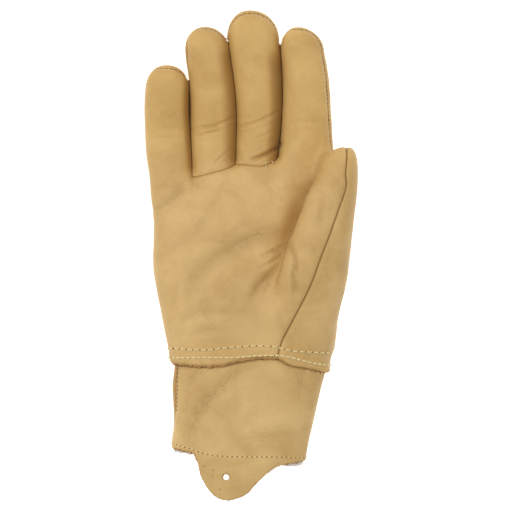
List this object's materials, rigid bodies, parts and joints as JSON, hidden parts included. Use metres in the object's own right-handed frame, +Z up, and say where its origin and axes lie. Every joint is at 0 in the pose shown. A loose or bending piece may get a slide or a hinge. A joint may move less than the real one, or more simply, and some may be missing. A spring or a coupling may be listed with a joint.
{
  "type": "lined leather work glove",
  "caption": "Right-hand leather work glove with seamed finger fronts, wing thumb, stitched hem, short lined cuff and a pulse-guard tab with a hanging hole.",
  "frame": {"origin": "centre of the glove's bounding box on the floor it lies on", "axes": "+X to the thumb's side, +Y to the fingertips, +Z up out of the palm, the back of the hand lying on z = 0"},
  "size_m": [0.1293, 0.2936, 0.0484],
  "materials": {
    "grain_leather": "smooth full-grain leather in pale buckskin yellow, soft satin, with fine pores and creases",
    "fleece": "off-white brushed fleece lining, matt",
    "thread": "cream sewing thread, twisted, slightly glossy"
  },
  "bodies": {
    "root": {"palm": "grain_leather", "ring_finger_front": "grain_leather", "middle_finger_front": "grain_leather", "back": "grain_leather", "thumb_outer": "grain_leather", "forchette_little_ring": "grain_leather", "forchette_ring_middle": "grain_leather", "forchette_middle_index": "grain_leather", "cuff_front": "grain_leather", "cuff_back": "grain_leather", "cuff_lining": "fleece"}
  },
  "joints": []
}
